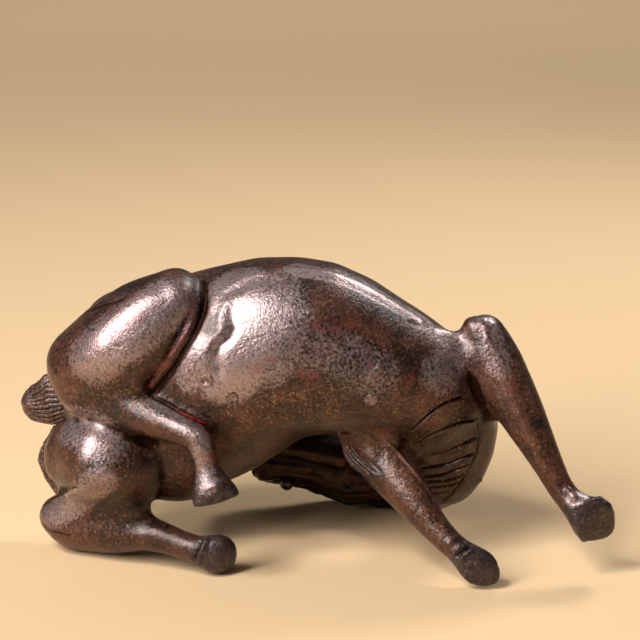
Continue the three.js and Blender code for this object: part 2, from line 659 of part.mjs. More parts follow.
// One named mesh for each piece.
const PIECES = {
  torso_shell: [torsoShell, "bronze"],
  neck_shell: [neckShell, "bronze"],
  skull: [skullPiece, "bronze"],
  lower_jaw: [lowerJaw, "bronze"],
  horn: [hornPiece, "bronze"],
  left_ear: [earPiece(leftEar), "bronze"],
  right_ear: [earPiece(rightEar), "bronze"],
  left_eye: [eyeBall(1, 0), "gilt"],
  right_eye: [eyeBall(-1, 0), "gilt"],
  beard: [beardPiece, "bronze"],
  mane: [manePiece, "bronze"],
  tail_brush: [tailBrush, "bronze"],
  tail_lock: [tailLockPiece, "bronze"],
  right_hind_leg: [rightHindLeg, "bronze"],
  left_hind_leg: [leftHindLeg, "bronze"],
  right_foreleg: [rightForeLeg, "bronze"],
  left_foreleg: [leftForeLeg, "bronze"],
  right_hind_hoof: [rightHindFoot.hoof.subtract(torsoCut), "hoof_bronze"],
  left_hind_hoof: [leftHindFoot.hoof.subtract(underTable), "hoof_bronze"],
  right_fore_hoof: [rightForeFoot.hoof, "hoof_bronze"],
  left_fore_hoof: [leftForeFoot.hoof.subtract(underTable), "hoof_bronze"],
  right_hind_wedge: [rightHindTenon.wedge, "fitting_bronze"],
  left_hind_wedge: [leftHindTenon.wedge, "fitting_bronze"],
  right_fore_wedge: [rightForeTenon.wedge, "fitting_bronze"],
  left_fore_wedge: [leftForeTenon.wedge, "fitting_bronze"],
  neck_pin: [neckPinBar(0).intersect(torsoForm(PROUD)), "fitting_bronze"],
  nape_pin: [napePinBar(0).intersect(skullForm(PROUD)), "fitting_bronze"],
  jaw_rivet: [rivetBar(0).intersect(skullForm(PROUD)), "fitting_bronze"],
};
for (const [name, plug] of Object.entries(PLUGS)) {
  PIECES[name] = [wallBar(plug, PLUG_RADIUS).intersect(plugShell), "fitting_bronze"];
}

const figure = new THREE.Group();
figure.name = "figure";
for (const [name, [solid, slot]] of Object.entries(PIECES)) {
  const material = new THREE.MeshStandardMaterial({ ...SLOTS[slot], name: slot });
  const mesh = new THREE.Mesh(geometryOf(solid), material);
  mesh.name = name;
  figure.add(mesh);
}

// The frame's origin is on the table, under the middle of the figure.
const middle = new THREE.Box3().setFromObject(figure).getCenter(new THREE.Vector3());
figure.position.set(-middle.x, -middle.y, 0);

const part = new THREE.Group();
part.name = "qilin_figurine";
part.add(figure);

export default part;
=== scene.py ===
"""Looks of the lying qilin figurine: a dark lacquered bronze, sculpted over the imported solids."""

import math

import bpy
import numpy as np
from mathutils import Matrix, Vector
from mathutils.bvhtree import BVHTree
from mathutils.kdtree import KDTree


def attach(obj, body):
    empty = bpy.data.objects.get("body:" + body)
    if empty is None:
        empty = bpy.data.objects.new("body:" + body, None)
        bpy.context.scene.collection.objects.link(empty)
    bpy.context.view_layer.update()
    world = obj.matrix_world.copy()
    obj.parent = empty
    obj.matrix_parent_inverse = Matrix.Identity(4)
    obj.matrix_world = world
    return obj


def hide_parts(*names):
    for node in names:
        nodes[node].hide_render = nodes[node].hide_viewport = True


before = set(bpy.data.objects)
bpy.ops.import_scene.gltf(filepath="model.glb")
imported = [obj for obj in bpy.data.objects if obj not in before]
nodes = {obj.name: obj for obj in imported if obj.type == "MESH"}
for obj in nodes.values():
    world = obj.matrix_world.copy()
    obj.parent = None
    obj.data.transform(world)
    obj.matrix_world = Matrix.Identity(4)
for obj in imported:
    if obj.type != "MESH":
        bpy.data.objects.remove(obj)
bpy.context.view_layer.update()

MM = 0.001

# Camera of the photograph, in the frame of the solids.
CAMERA_AT = Vector((2.94, -509.07, 205.27)) * MM
CAMERA_PITCH = math.radians(15)
LENS = 100
SENSOR = 36
PICTURE = 640
FOCAL = LENS / SENSOR * PICTURE
RIGHT = Vector((1, 0, 0))
UP = Vector((0, math.sin(CAMERA_PITCH), math.cos(CAMERA_PITCH)))
FORWARD = Vector((0, math.cos(CAMERA_PITCH), -math.sin(CAMERA_PITCH)))

# Fineness of the recast skin, how far it stands off the solids, and how far the seams lie outside them.
ROUGH_GRAIN = 1.0 * MM
SKIN_SWELL = 0.25 * MM
SEAM_REACH = 1.2 * MM

# Points nearer than this are one point.
SAME_POINT = 1e-6

# Sculpting notes. A spot or a path is where the camera sees it in the picture, 640 points wide.
# Pulls: spot, way to the right and up in millimetres, reach. Strokes: path, width, height; a negative
# height carves.
PULLS = {
    "trunk": (((165, 478), (0, -5.3), 22), ((284, 447), (0, 2.4), 15)),
    "left_hind_leg": (((48, 514), (-0.8, 0), 9), ((78, 540), (0, 0.8), 14), ((150, 552), (0, 1.0), 14)),
    "left_foreleg": (((452, 530), (-0.6, -0.3), 8),),
}

# Feet: middle of the coronet and way down in the frame, height, how far the sole stands out, drawing in.
FEET = {
    "right_hind_hoof": ((-28.78, -32.46, 33.21), (0.226, -0.169, -0.959), 8.9, 0.0, 0.0),
    "left_hind_hoof": ((-31.79, -27.04, 6.87), (0.919, -0.383, -0.092), 10.45, 2.4, 0.24),
    "right_fore_hoof": ((76.07, -28.08, 21.68), (0.686, -0.514, -0.514), 12.95, 0.8, -0.2),
    "left_fore_hoof": ((43.63, -36.06, 9.61), (0.684, -0.516, -0.516), 13.6, 2.6, 0.22),
}

# Creases of the solids that the figure doesn't have, smoothed away: path, reach.
FILLS = (
    (((62, 503), (85, 504), (110, 505), (136, 507)), 8),
    (((360, 432), (371, 436), (383, 440)), 5),
    (((457, 336), (461, 348), (466, 362)), 5),
)

# Broad forms under the skin.
FORMS = (
    (((86, 352), (115, 322), (147, 298)), 6, 0.35),
    (((320, 362), (345, 356)), 13, -0.6),
    (((75, 426), (90, 426)), 12, 0.8),
    (((50, 515), (70, 504), (92, 491), (110, 478)), 6.5, 0.8),
    (((300, 269), (340, 277), (380, 296), (420, 321)), 3.2, 0.4),
    (((360, 440), (368, 452)), 5, 0.9),
    (((497, 345), (520, 410), (545, 470)), 3.5, 0.35),
    (((345, 449), (357, 462), (374, 475)), 2.6, 0.6),
    (((479, 428), (486, 440), (482, 458), (472, 474)), 5, -0.5),
)

# Creases, wrinkles and ridges.
FOLDS = (
    (((204, 282), (204, 304), (195, 329), (182, 352), (172, 369), (160, 385), (153, 394)), 1.8, -1.7),
    (((182, 352), (172, 369), (160, 385), (153, 394)), 1.4, -1.0),
    (((49, 384), (62, 389), (77, 389), (91, 385), (107, 381), (113, 378)), 3.6, -0.5),
    (((84, 314), (96, 307), (108, 303), (120, 299), (131, 294)), 2.0, -0.5),
    (((240, 291), (229, 300), (224, 310), (222, 320), (223, 328), (218, 336), (210, 344),
      (203, 354)), 2.6, 0.4),
    (((231, 310), (230, 320), (231, 328), (228, 337), (219, 346), (216, 358), (217, 372),
      (220, 386)), 3.2, -0.55),
    (((228, 301), (236, 291), (248, 283), (262, 280), (280, 283)), 3.0, -0.4),
    (((226, 292), (238, 279), (253, 272), (272, 269), (296, 270)), 3.4, 0.3),
    (((384, 362), (378, 371), (371, 381)), 2.2, 0.5),
    (((466, 366), (474, 388), (484, 409)), 2.4, -0.3),
    (((484, 316), (486, 328), (489, 344)), 1.7, 0.45),
    (((41, 508), (50, 500), (60, 493), (72, 489), (84, 487)), 1.8, -0.7),
    (((44, 520), (46, 527), (58, 533), (75, 537)), 1.2, -0.5),
    (((204.7, 381.3),), 1.3, -0.6),
    (((153, 396), (160, 400), (168, 404), (178, 410), (192, 417), (207, 424)), 1.1, -0.9),
    (((411, 322), (415, 324)), 1.1, -0.5),
    (((213, 529), (207, 540), (201, 553), (197, 566)), 1.1, 0.8),
    (((208, 530), (202, 541), (197, 553), (193, 562)), 1.1, -0.4),
    (((455, 558), (462, 551), (471, 545), (482, 539)), 1.2, -0.7),
    (((459, 562), (466, 554), (475, 547), (486, 542)), 1.0, 0.4),
    (((577, 506), (590, 501), (607, 498), (616, 511), (618, 530), (610, 542), (589, 544),
      (578, 531), (575, 516)), 1.3, 0.6),
    (((593, 517), (600, 527)), 5.0, -0.5),
    (((581, 487),), 2.4, 1.2),
    (((569, 491), (574, 497)), 1.8, 0.9),
    (((206, 490), (213, 487), (220, 483), (227, 477)), 1.0, 0.45),
    (((207, 494), (215, 491), (222, 487), (230, 481)), 0.9, -0.4),
    (((197, 499), (214, 497), (234, 488)), 0.9, -0.4),
    (((446, 546), (452, 540), (459, 536)), 1.6, 0.4),
    (((347, 440), (354, 447), (363, 456), (372, 464), (381, 473)), 1.0, -0.4),
)

# Edges drawn out sharp: path, way to the right and up, width.
EDGES = (
    (((233, 489),), (1.7, -0.9), 3.6),
    (((197, 498),), (-0.5, -1.8), 3.6),
    (((197, 500), (210, 499), (224, 495), (234, 489)), (0, -1.5), 2.2),
    (((478, 481),), (1.2, 0), 2.0),
    (((470, 327),), (-1.3, 1.3), 6),
    (((447, 335), (454, 337)), (0, 1.1), 4.5),
    (((349, 440), (352, 450), (358, 463)), (-2.2, -0.2), 5),
    (((594, 520),), (0.9, -0.4), 10),
    (((602, 505),), (0.8, 0.6), 5),
    (((606, 530),), (0.9, -0.8), 5),
    (((590, 534),), (-0.1, -0.6), 5),
)

# Plates of the throat: incised lines, then the border on the right. They run on behind the left foreleg.
PLATES = (
    ((410, 432), (420, 423), (432, 412), (444, 404), (453, 400), (464, 397)),
    ((417, 444), (430, 436), (446, 428), (460, 423), (474, 420), (476, 415)),
    ((429, 455), (447, 451), (463, 444), (479, 438)),
    ((415, 468), (434, 467), (449, 464), (464, 458), (478, 453)),
    ((410, 477), (438, 476), (453, 472), (466, 467), (473, 464)),
    ((408, 482), (441, 482), (455, 479), (466, 475), (470, 473)),
    ((412, 489), (446, 487), (458, 484), (464, 481)),
    ((418, 496), (446, 493), (455, 490), (460, 487)),
)
PLATE_BORDER = ((478, 423), (480, 437), (478, 452), (472, 466), (464, 480), (455, 492), (441, 504))

# Hair on the left elbow, and the sharp edge of that leg.
ELBOW_HAIR = (
    ((347, 442), (361, 457), (379, 474)),
    ((344, 442), (358, 458), (376, 474)),
    ((341, 443), (354, 459), (371, 475)),
    ((339, 445), (351, 461), (366, 475)),
    ((338, 448), (348, 462), (361, 475)),
    ((338, 452), (345, 463), (355, 474)),
)
LEG_EDGE = ((383, 437), (400, 455), (414, 472), (428, 491), (441, 510))

# Finish painted on the skin: kind, path, width in millimetres, strength. Red lacquer and gilt flecks are
# the bronze's own; the polished marks are partly wear and partly painted sheen.
FINISHES = (
    ("red", ((192, 304), (187, 326), (178, 344), (165, 362), (150, 384)), 1.8, 0.9),
    ("red", ((175, 411), (191, 418), (207, 424)), 0.9, 1.3),
    ("red", ((212, 455), (217, 464), (225, 474)), 1.6, 1.1),
    ("red", ((80, 352), (100, 336), (115, 322), (147, 298)), 7.0, 0.6),
    ("red", ((56, 352), (66, 362), (80, 374)), 5.0, 0.6),
    ("red", ((95, 380), (108, 374), (125, 380)), 3.0, 0.5),
    ("red", ((303, 326), (320, 327), (332, 332), (343, 331)), 1.8, 0.8),
    ("red", ((300, 372), (308, 378), (318, 374)), 2.6, 0.8),
    ("red", ((367, 349), (370, 360), (369, 371)), 1.6, 0.7),
    ("red", ((404, 382), (414, 388), (426, 398)), 4.5, 0.6),
    ("red", ((381, 396), (395, 398)), 2.2, 0.6),
    ("red", ((441, 352), (446, 361), (444, 370)), 2.6, 0.6),
    ("red", ((352, 437), (357, 444), (362, 453)), 1.8, 0.8),
    ("red", ((378, 429), (384, 434)), 1.6, 0.8),
    ("red", ((96, 430), (110, 440), (118, 455)), 3.5, 0.55),
    ("red", ((252, 428), (270, 437), (290, 434)), 3.0, 0.5),
    ("red", ((250, 372), (262, 366), (272, 360)), 2.2, 0.7),
    ("red", ((112, 338), (126, 326), (140, 316)), 3.0, 0.8),
    ("red", ((255, 405), (268, 416), (285, 422)), 3.0, 0.6),
    ("red", ((325, 322), (350, 328)), 3.0, 0.7),
    ("red", ((286, 338), (290, 352)), 2.5, 0.6),
    ("red", ((50, 508), (62, 500)), 2.0, 0.6),
    ("red", ((565, 486), (580, 486)), 2.0, 0.8),
    ("fleck", ((252, 416), (275, 410), (300, 406), (332, 402)), 9.0, 1.0),
    ("fleck", ((112, 440), (118, 455), (116, 470)), 6.0, 0.8),
    ("fleck", ((70, 524), (100, 530), (135, 535)), 6.0, 0.8),
    ("fleck", ((385, 450), (410, 490), (440, 535)), 4.5, 0.9),
    ("fleck", ((500, 360), (520, 400), (550, 470)), 4.5, 0.7),
    ("fleck", ((100, 385), (120, 392), (140, 404)), 5.0, 0.9),
    ("fleck", ((165, 440), (180, 460), (175, 480)), 8.0, 0.6),
    ("fleck", ((196, 470), (205, 488), (222, 492)), 3.0, 0.8),
    ("fleck", ((60, 330), (80, 360), (70, 375)), 6.0, 0.4),
    ("fleck", ((400, 340), (430, 370), (440, 395)), 8.0, 0.5),
    ("fleck", ((430, 412), (450, 440), (440, 480)), 14.0, 0.8),
    # From here on the marks are wear and painted sheen: they lie where the highlights fall, and make the
    # colour lighter and shinier there.
    ("polish", ((240, 290), (252, 320), (246, 350), (226, 372)), 11.0, 1.0),
    ("polish", ((275, 290), (285, 325), (268, 362)), 9.0, 0.65),
    ("polish", ((200, 350), (192, 376)), 6.0, 0.7),
    ("polish", ((92, 356), (125, 332), (165, 303)), 10.0, 0.85),
    ("polish", ((76, 424), (92, 434), (102, 444)), 8.0, 0.75),
    ("polish", ((52, 513), (66, 505), (84, 495), (100, 482)), 6.0, 0.8),
    ("polish", ((296, 268), (340, 276), (380, 295), (425, 321)), 4.2, 1.0),
    ("polish", ((200, 440), (202, 462), (206, 484)), 4.0, 0.8),
    ("polish", ((155, 404), (180, 420), (195, 432)), 4.0, 0.7),
    ("polish", ((484, 318), (492, 340), (500, 365)), 5.0, 0.6),
    ("polish", ((440, 335), (452, 352), (440, 375)), 7.0, 0.6),
    ("polish", ((300, 350), (340, 355), (375, 375)), 9.0, 0.4),
    ("polish", ((572, 500), (588, 493), (598, 495)), 2.5, 1.0),
)


# Hand tools

def pick(piece):
    bpy.ops.object.select_all(action="DESELECT")
    piece.select_set(True)
    bpy.context.view_layer.objects.active = piece


def mode(name):
    bpy.ops.object.mode_set(mode=name)


def finish_with(piece, kind, **settings):
    """Applies a modifier; it stays hidden until then, so that it is worked out only once."""
    pick(piece)
    modifier = piece.modifiers.new(kind.lower(), kind)
    modifier.show_viewport = False
    for name, value in settings.items():
        setattr(modifier, name, value)
    bpy.ops.object.modifier_apply(modifier=modifier.name)


def edit_some(piece, kind, chosen):
    """Opens a piece for editing with some of its points or faces selected."""
    pick(piece)
    mode("EDIT")
    bpy.ops.mesh.select_mode(type=kind)
    bpy.ops.mesh.select_all(action="DESELECT")
    mode("OBJECT")
    parts = piece.data.vertices if kind == "VERT" else piece.data.polygons
    parts.foreach_set("select", chosen)
    mode("EDIT")


def twin(piece, name):
    copy = bpy.data.objects.new(name, piece.data.copy())
    bpy.context.scene.collection.objects.link(copy)
    return copy


def copy_of(node, name):
    """A loose copy of a solid, with its points joined."""
    piece = twin(nodes[node], name)
    piece.data.materials.clear()
    pick(piece)
    mode("EDIT")
    bpy.ops.mesh.select_all(action="SELECT")
    bpy.ops.mesh.remove_doubles(threshold=SAME_POINT)
    mode("OBJECT")
    return piece


def swell(piece, by):
    finish_with(piece, "DISPLACE", strength=by, mid_level=0)


def recast(piece, grain):
    finish_with(piece, "REMESH", mode="VOXEL", voxel_size=grain)


def join(pieces, name):
    pick(pieces[0])
    for piece in pieces[1:]:
        piece.select_set(True)
    bpy.ops.object.join()
    pieces[0].name = name
    return pieces[0]


def keep_outer_skin(piece):
    """Drops the closed hollows left inside, so that only the largest skin stays."""
    ends = np.empty(len(piece.data.edges) * 2, np.int32)
    piece.data.edges.foreach_get("vertices", ends)
    first, second = ends[0::2], ends[1::2]
    shell = np.arange(len(piece.data.vertices))
    while True:
        low = np.minimum(shell[first], shell[second])
        joined = shell.copy()
        np.minimum.at(joined, first, low)
        np.minimum.at(joined, second, low)
        np.minimum.at(joined, shell, joined)
        joined = joined[joined]
        if (joined == shell).all():
            break
        shell = joined
    largest = np.bincount(shell).argmax()
    if (shell == largest).all():
        return
    edit_some(piece, "VERT", shell != largest)
    bpy.ops.mesh.delete(type="VERT")
    mode("OBJECT")


# Sculpting on arrays of points

# A squared distance beyond any point of the figure.
FAR = 9.0

# Smoothing goes part of the way to the neighbours, then a little more than that back.
SMOOTH_IN = 0.5
SMOOTH_OUT = -0.53

# A fill works at full strength over the inner part of its reach.
FILL_ROUNDS = 60
FILL_CORE = 1.5

# Steps along a path: in the picture, on the skin and along a lock of hair, the last two in millimetres.
PICTURE_STEP = 1.5
SKIN_STEP = 0.4
COMB_STEP = 0.5

# What is left of a stroke's height at an end that fades.
END_HEIGHT = 0.15

# Strands: where the turn round the axis starts, how they waver, how sharp they are, how they fade.
COMB_START = (0.3, 0.2, 1.0)
WAVER = 0.8
WAVER_ALONG = 7
WAVER_ROUND = 2
STRAND_EDGE = 3
COMB_FADE = 4
COMB_END = 0.1


class Clay:
    """The points, edges and normals of a piece, moved as with sculpting tools."""

    def __init__(self, piece):
        self.piece = piece
        mesh = piece.data
        count = len(mesh.vertices)
        self.points = np.empty(count * 3, np.float32)
        mesh.vertices.foreach_get("co", self.points)
        self.points = self.points.reshape(-1, 3).astype(float)
        ends = np.empty(len(mesh.edges) * 2, np.int32)
        mesh.edges.foreach_get("vertices", ends)
        self.ends = ends.reshape(-1, 2)
        self.valence = np.bincount(self.ends.ravel(), minlength=count)[:, None].clip(1)
        self.tree = None
        self.paints = {}
        self.refresh()

    def refresh(self):
        """Puts the moved points back into the mesh, and reads its normals again."""
        mesh = self.piece.data
        mesh.vertices.foreach_set("co", self.points.astype(np.float32).ravel())
        mesh.update()
        normals = np.empty(len(self.points) * 3, np.float32)
        mesh.vertex_normals.foreach_get("vector", normals)
        self.normals = normals.reshape(-1, 3).astype(float)

    def around(self, values):
        """The mean of each point's neighbours."""
        total = np.empty_like(values)
        for axis in range(values.shape[1]):
            column = values[:, axis]
            a, b = self.ends[:, 0], self.ends[:, 1]
            size = len(column)
            total[:, axis] = np.bincount(a, column[b], size) + np.bincount(b, column[a], size)
        return total / self.valence

    def relax(self, rounds):
        """Smooths without shrinking."""
        for _ in range(rounds):
            for pull in (SMOOTH_IN, SMOOTH_OUT):
                self.points += pull * (self.around(self.points) - self.points)

    def fill(self, line, reach):
        """Smooths a crease away along a line."""
        close, share, _ = self.near(line, reach)
        mask = np.zeros((len(self.points), 1))
        mask[close, 0] = np.minimum(1, FILL_CORE * share)
        for _ in range(FILL_ROUNDS):
            self.points += SMOOTH_IN * mask * (self.around(self.points) - self.points)
        self.refresh()

    def mark_hollows(self, spread, blur, depth):
        """Marks how far each point lies under its surroundings: 1 at the depth, ridges negative."""
        mean = self.points
        for _ in range(spread):
            mean = self.around(mean)
        marks = ((mean - self.points) * self.normals).sum(1)[:, None]
        for _ in range(blur):
            marks = 0.5 * marks + 0.5 * self.around(marks)
        self.paints["hollow"] = (marks[:, 0] / depth).clip(-1, 1)

    def dome(self, coronet, axis, height, rise, taper):
        """Rounds the end of a foot: the rim draws in and the middle stands out."""
        axis = np.array(axis)
        out = self.points - np.array(coronet) * MM
        along = out @ axis
        across = out - along[:, None] * axis
        width = np.linalg.norm(across, axis=1)
        low = (along / (height * MM)).clip(0, 1) ** 2
        self.points += (rise * MM * low * (1 - (width / width.max()) ** 2))[:, None] * axis
        self.points -= across * (taper * low)[:, None]
        self.refresh()

    def seen(self):
        """A tree of the faces, for finding what the camera sees."""
        self.refresh()
        polygons = [tuple(p.vertices) for p in self.piece.data.polygons]
        return BVHTree.FromPolygons([tuple(p) for p in self.points], polygons)

    def own_tree(self):
        if self.tree is None:
            self.tree = self.seen()
        return self.tree

    def touch(self, x, y, tree=None):
        """The point of the skin behind a point of the picture, or nothing."""
        tree = self.own_tree() if tree is None else tree
        return tree.ray_cast(CAMERA_AT, sight(x, y))[0]

    def traced(self, path, tree=None):
        """A line drawn on the picture, laid on the skin."""
        hits = [self.touch(x, y, tree) for x, y in curve(path, PICTURE_STEP)]
        return np.array([tuple(hit) for hit in hits if hit is not None])

    def laid(self, path):
        """A line through points in millimetres, laid on the nearest skin."""
        tree = self.own_tree()
        return np.array([tuple(tree.find_nearest(Vector(p) * MM)[0]) for p in curve(path, SKIN_STEP)])

    def near(self, line, width):
        """Which points are nearer to a line than the width, how near, and how far along, from 0 to 1."""
        low, high = line.min(0) - width, line.max(0) + width
        close = np.flatnonzero(((self.points > low) & (self.points < high)).all(1))
        gap = np.full(len(close), FAR)
        along = np.zeros(len(close))
        for k, point in enumerate(line):
            far = ((self.points[close] - point) ** 2).sum(1)
            along = np.where(far < gap, k / max(1, len(line) - 1), along)
            gap = np.minimum(gap, far)
        share = (1 - gap / width ** 2).clip(0)
        return close, share, along

    def stroke(self, line, width, height, ends=0.0):
        """Raises, or with a negative height carves, a rounded line that may fade at its ends."""
        if len(line) == 0:
            return
        close, share, along = self.near(line, width)
        fade = np.minimum(1, np.minimum(along, 1 - along) / ends + END_HEIGHT) if ends else 1
        self.points[close] += self.normals[close] * (height * share ** 2 * fade)[:, None]

    def paint(self, kind, line, width, strength):
        """Marks the skin near a line for a finish."""
        marks = self.paints.setdefault(kind, np.zeros(len(self.points)))
        if len(line):
            close, share, _ = self.near(line, width)
            marks[close] = np.maximum(marks[close], strength * share * (2 - share))

    def comb(self, axis, strands, depth, twist):
        """Cuts lengthwise strands round an axis, a list of points in millimetres."""
        line = np.array(curve(axis, COMB_STEP)) * MM
        ways = np.gradient(line, axis=0)
        ways /= np.linalg.norm(ways, axis=1)[:, None]
        nearest = np.zeros(len(self.points), int)
        gap = np.full(len(self.points), FAR)
        for k, point in enumerate(line):
            far = ((self.points - point) ** 2).sum(1)
            nearest = np.where(far < gap, k, nearest)
            gap = np.minimum(gap, far)
        out = self.points - line[nearest]
        way = ways[nearest]
        first = np.cross(way, COMB_START)
        first /= np.linalg.norm(first, axis=1)[:, None]
        second = np.cross(way, first)
        turn = np.arctan2((out * second).sum(1), (out * first).sum(1))
        along = nearest / len(line)
        waver = WAVER * np.sin(WAVER_ALONG * along + WAVER_ROUND * turn)
        wave = np.cos(strands * turn + twist * along + waver)
        cut = (0.5 + 0.5 * wave) ** STRAND_EDGE
        fade = np.minimum(1, COMB_FADE * np.minimum(along + COMB_END, 1 + COMB_END - along))
        self.points -= self.normals * (depth * MM * cut * fade)[:, None]

    def grab(self, at, way, reach):
        """Pulls the skin round a point."""
        gap = ((self.points - np.array(at)) ** 2).sum(1)
        share = (1 - gap / reach ** 2).clip(0) ** 2
        self.points += share[:, None] * np.array(way)

    def drag(self, line, way, width):
        """Draws the skin along a line out one way."""
        close, share, _ = self.near(line, width)
        self.points[close] += (share ** 2)[:, None] * np.array(way)

    def pull(self, pulls):
        """Pulls the skin at spots of the picture, to the right and up."""
        for spot, (right, up), reach in pulls:
            self.grab(self.touch(*spot), (RIGHT * right + UP * up) * MM, reach * MM)
        self.tree = None
        self.refresh()


def curve(path, step):
    """A smooth line through the points of a path, with points about a step apart."""
    points = [np.array(point, float) for point in path]
    ends = [points[0], *points, points[-1]]
    line = []
    for p0, p1, p2, p3 in zip(ends, ends[1:], ends[2:], ends[3:]):
        steps = max(1, int(np.linalg.norm(p2 - p1) / step))
        for t in np.arange(steps) / steps:
            line.append(0.5 * (2 * p1 + (p2 - p0) * t + (2 * p0 - 5 * p1 + 4 * p2 - p3) * t ** 2
                               + (3 * p1 - p0 - 3 * p2 + p3) * t ** 3))
    line.append(points[-1])
    return line


def sight(x, y):
    """The way from the camera through a point of the picture."""
    half = PICTURE / 2
    return (FORWARD * FOCAL + RIGHT * (x - half) + UP * (half - y)).normalized()


def tree_of(points):
    tree = KDTree(len(points))
    for k, point in enumerate(points):
        tree.insert(point, k)
    tree.balance()
    return tree


def refine(piece, lines, reach):
    """Halves the faces near some lines, so that fine cuts have points to move."""
    points = np.concatenate([line for line in lines if len(line)])
    middles = np.empty(len(piece.data.polygons) * 3, np.float32)
    piece.data.polygons.foreach_get("center", middles)
    middles = middles.reshape(-1, 3)
    tree = tree_of(points)
    low, high = points.min(0) - reach, points.max(0) + reach
    inside = ((middles > low) & (middles < high)).all(1)
    chosen = np.zeros(len(middles), bool)
    for k in np.flatnonzero(inside):
        chosen[k] = tree.find(middles[k])[2] < reach
    edit_some(piece, "FACE", chosen)
    bpy.ops.mesh.subdivide(number_cuts=1)
    mode("OBJECT")


# Stage

NEAREST_SEEN = 0.01
FLOOR_SIZE = 12
FLOOR_COLOUR = (0.68, 0.47, 0.26, 1)
FLOOR_ROUGHNESS = 0.85
SKY_COLOUR = (1, 0.97, 0.93, 1)
SKY_STRENGTH = 0.1
SUN_AT = (-0.5, -0.3, 0.85)
SUN_STRENGTH = 0.6
SUN_ANGLE = math.radians(7)

# Soft boxes: name, place, target, width and height in metres, power in watts, spread in degrees.
SOFTBOXES = (
    ("key_left", (-0.58, -0.52, 0.7), (0, 0, 0.05), (0.34, 0.85), 17, 180),
    ("rim_back", (0.36, 0.42, 0.58), (0.02, 0, 0.06), (0.2, 0.1), 2.4, 180),
    ("backdrop_wash", (0, 1.7, 2.4), (0, 2.2, 0), (3.2, 1.6), 15, 100),
)


def aim(lamp, at, target):
    holder = bpy.data.objects.new(lamp.name, lamp)
    holder.location = at
    holder.rotation_euler = (Vector(target) - Vector(at)).to_track_quat("-Z", "Y").to_euler()
    bpy.context.scene.collection.objects.link(holder)


def set_stage():
    camera = bpy.data.objects.new("camera", bpy.data.cameras.new("camera"))
    camera.data.lens = LENS
    camera.data.sensor_width = SENSOR
    camera.location = CAMERA_AT
    camera.rotation_euler = (math.pi / 2 - CAMERA_PITCH, 0, 0)
    camera.data.clip_start = NEAREST_SEEN
    bpy.context.scene.collection.objects.link(camera)
    bpy.context.scene.camera = camera

    bpy.ops.object.select_all(action="DESELECT")
    bpy.ops.mesh.primitive_plane_add(size=FLOOR_SIZE, location=(0, 0, 0))
    floor = bpy.context.object
    floor.name = "floor"
    paper = bpy.data.materials.new("pale_paper")
    paper.use_nodes = True
    shader = paper.node_tree.nodes["Principled BSDF"]
    shader.inputs["Base Color"].default_value = FLOOR_COLOUR
    shader.inputs["Roughness"].default_value = FLOOR_ROUGHNESS
    floor.data.materials.append(paper)

    world = bpy.data.worlds.new("studio")
    bpy.context.scene.world = world
    world.use_nodes = True
    sky = world.node_tree.nodes["Background"]
    sky.inputs["Color"].default_value = SKY_COLOUR
    sky.inputs["Strength"].default_value = SKY_STRENGTH

    sun = bpy.data.lights.new("sun_left", "SUN")
    sun.energy = SUN_STRENGTH
    sun.angle = SUN_ANGLE
    aim(sun, SUN_AT, (0, 0, 0))
    for name, at, target, size, power, spread in SOFTBOXES:
        lamp = bpy.data.lights.new(name, "AREA")
        lamp.shape = "RECTANGLE"
        lamp.size, lamp.size_y = size
        lamp.energy = power
        lamp.spread = math.radians(spread)
        aim(lamp, at, target)
    bpy.context.scene.view_settings.view_transform = "Standard"


set_stage()

# Body: the shells and legs recast as one skin, so that the joints flow as in a casting.

TRUNK_FILLET = 5 * MM
FOOT_FILLET = 2.5 * MM
LEG_FILLET = 1.2 * MM
FRONT_FILLET = 1.6 * MM
BODY_FILLET = 0.8 * MM
TRUNK_ROUNDS = 20
BODY_ROUNDS = 22

# Legs: the leg, its foot, and the fillet between them in millimetres.
LEGS = (
    ("right_hind_leg", "right_hind_hoof", 3),
    ("left_hind_leg", "left_hind_hoof", 2),
    ("right_foreleg", "right_fore_hoof", 2),
    ("left_foreleg", "left_fore_hoof", 2),
)

# Fine lines: width and height of the stroke. The two upper plates have a raised lip over the cut.
PLATE_CUT = (0.85 * MM, -0.85 * MM)
PLATE_LIP = (0.7 * MM, 0.4 * MM)
LIP_OFFSET = 0.7 * MM
LIPPED_PLATES = 2
BORDER_CUT = (0.9 * MM, -0.8 * MM)
HAIR_CUT = (0.4 * MM, -0.35 * MM)
LEG_EDGE_RISE = (0.9 * MM, 0.6 * MM)

# The part of a line over which it fades at each end, and how far from fine lines the faces are halved.
SOFT_ENDS = 0.25
CRISP_ENDS = 0.1
FINE_REACH = 1.3 * MM
HAIR_REACH = 0.8 * MM

# Hollows: rounds of smoothing to compare with, rounds of blur, depth of a full mark.
BODY_HOLLOWS = (10, 3, 0.12 * MM)
SMALL_HOLLOWS = (8, 2, 0.1 * MM)


def weld(pieces, name, fillet):
    """Joins pieces into one skin and rounds the creases between them."""
    piece = join(pieces, name) if len(pieces) > 1 else pieces[0]
    recast(piece, ROUGH_GRAIN)
    keep_outer_skin(piece)
    swell(piece, fillet)
    recast(piece, ROUGH_GRAIN)
    swell(piece, -fillet)
    recast(piece, ROUGH_GRAIN)
    keep_outer_skin(piece)
    return piece


def clay_of(node):
    piece = copy_of(node, node + "_clay")
    swell(piece, SKIN_SWELL)
    return piece


trunk = weld([clay_of("torso_shell"), clay_of("neck_shell")], "trunk_clay", TRUNK_FILLET)
clay = Clay(trunk)
clay.relax(TRUNK_ROUNDS)
clay.pull(PULLS["trunk"])
trunk_seen = clay.seen()

